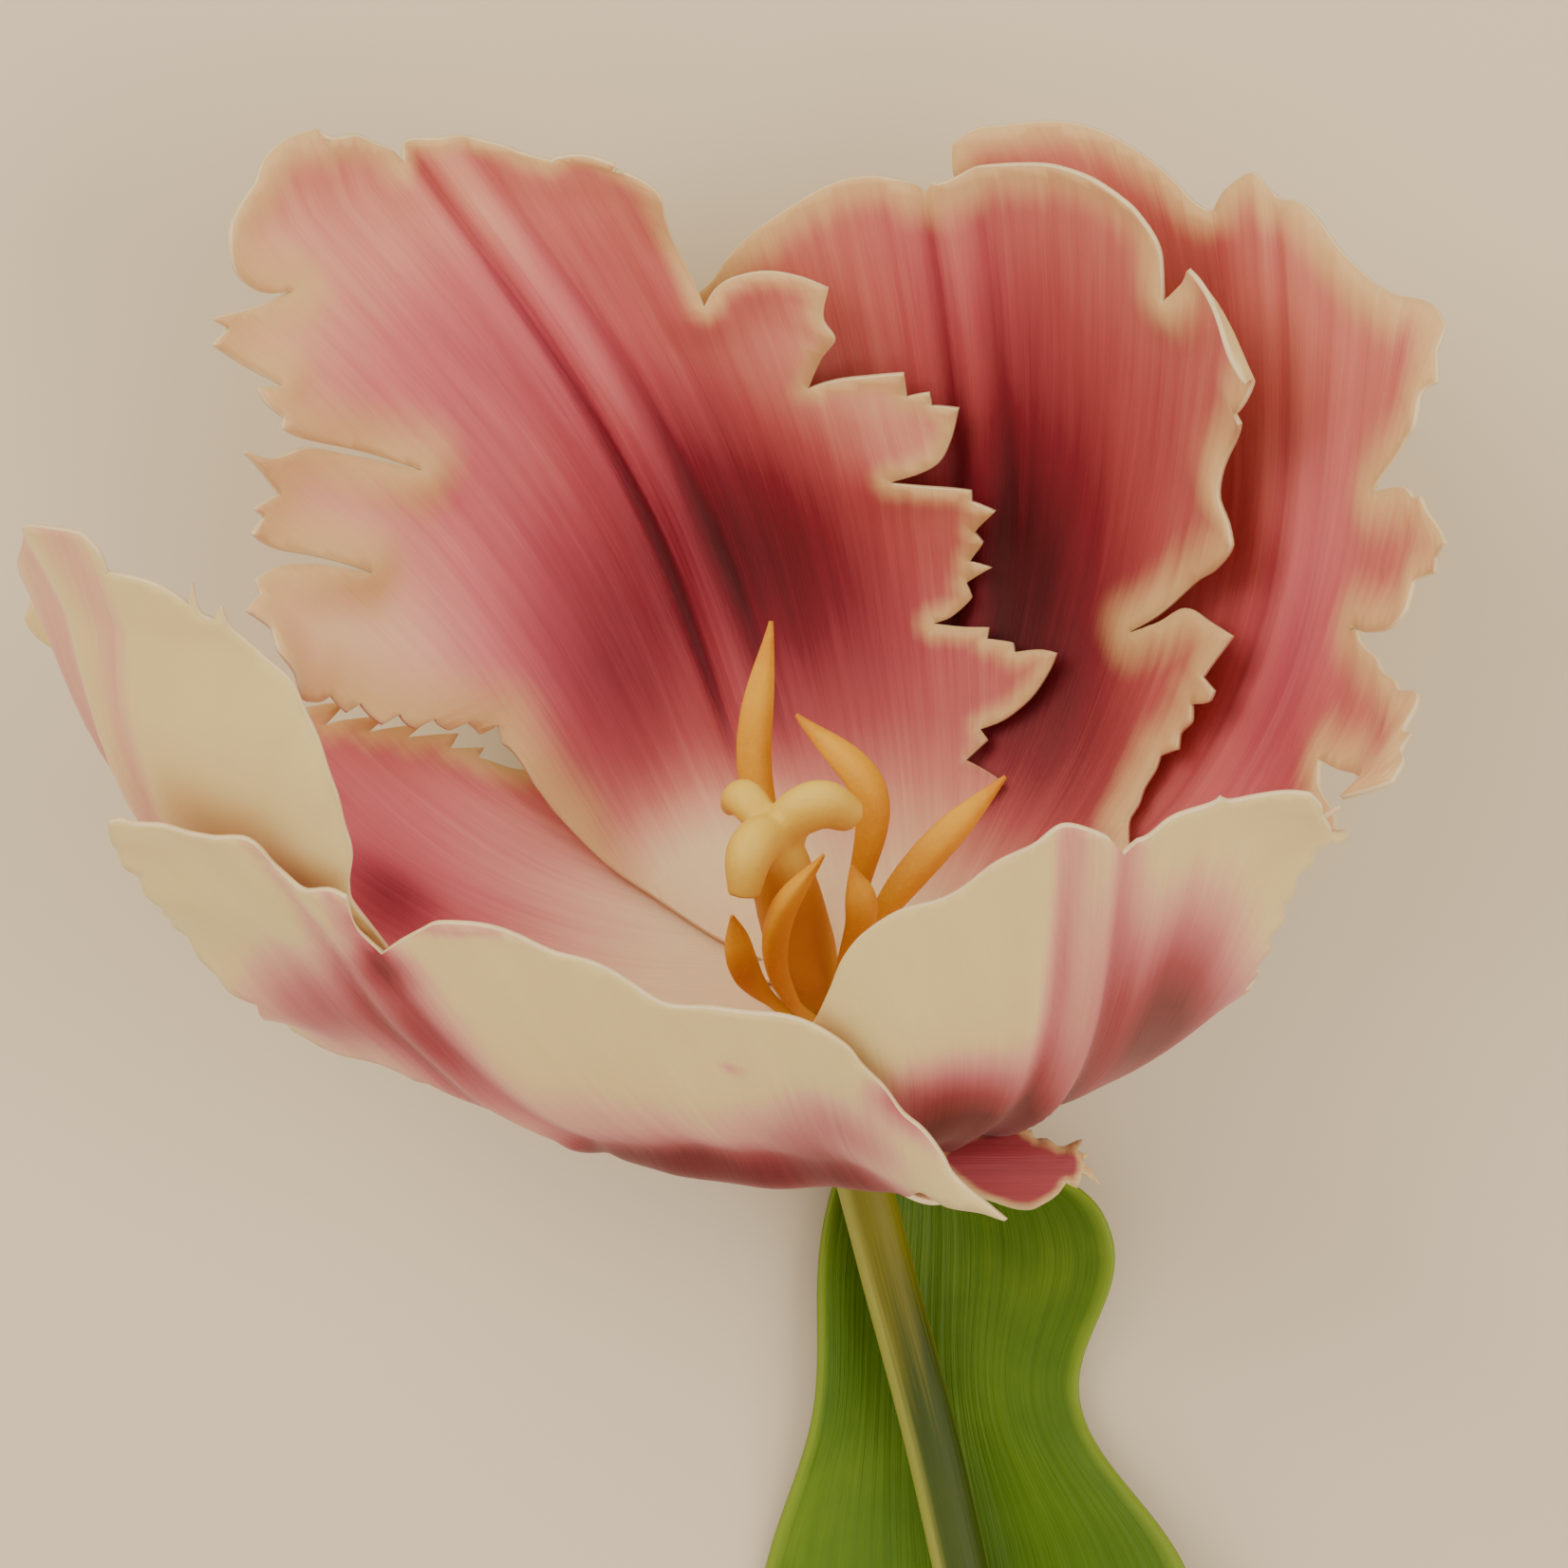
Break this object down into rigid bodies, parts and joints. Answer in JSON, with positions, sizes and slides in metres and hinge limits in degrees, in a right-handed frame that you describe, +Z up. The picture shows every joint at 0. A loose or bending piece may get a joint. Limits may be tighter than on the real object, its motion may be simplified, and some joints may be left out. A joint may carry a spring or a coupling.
{
  "type": "cut fringed tulip",
  "caption": "Single cut tulip lying down, its cup of fringed tepals open over the pistil and stamens, on a bent stem with one clasping leaf.",
  "frame": {"origin": "the flat spot under the back of the bloom on which the lying flower rests", "axes": "+Z up from the table, -Y down the stem, +X to the right as the bloom is seen from above"},
  "size_m": [0.1221, 0.2869, 0.0812],
  "materials": {
    "tepal": "soft satin petal, cream at the fringe and deep pink in the middle",
    "stem": "smooth waxy green stem",
    "leaf": "smooth waxy green leaf",
    "stamen": "powdery golden anther",
    "pistil": "pale yellow, slightly velvety"
  },
  "bodies": {
    "root": {"tepal_back_left": "tepal", "tepal_back_right": "tepal", "tepal_right": "tepal", "tepal_left": "tepal", "tepal_front_left": "tepal", "tepal_front_right": "tepal", "stem": "stem", "leaf": "leaf", "pistil": "pistil", "stamen_1": "stamen", "stamen_2": "stamen", "stamen_3": "stamen", "stamen_4": "stamen", "stamen_5": "stamen", "stamen_6": "stamen"}
  },
  "joints": []
}
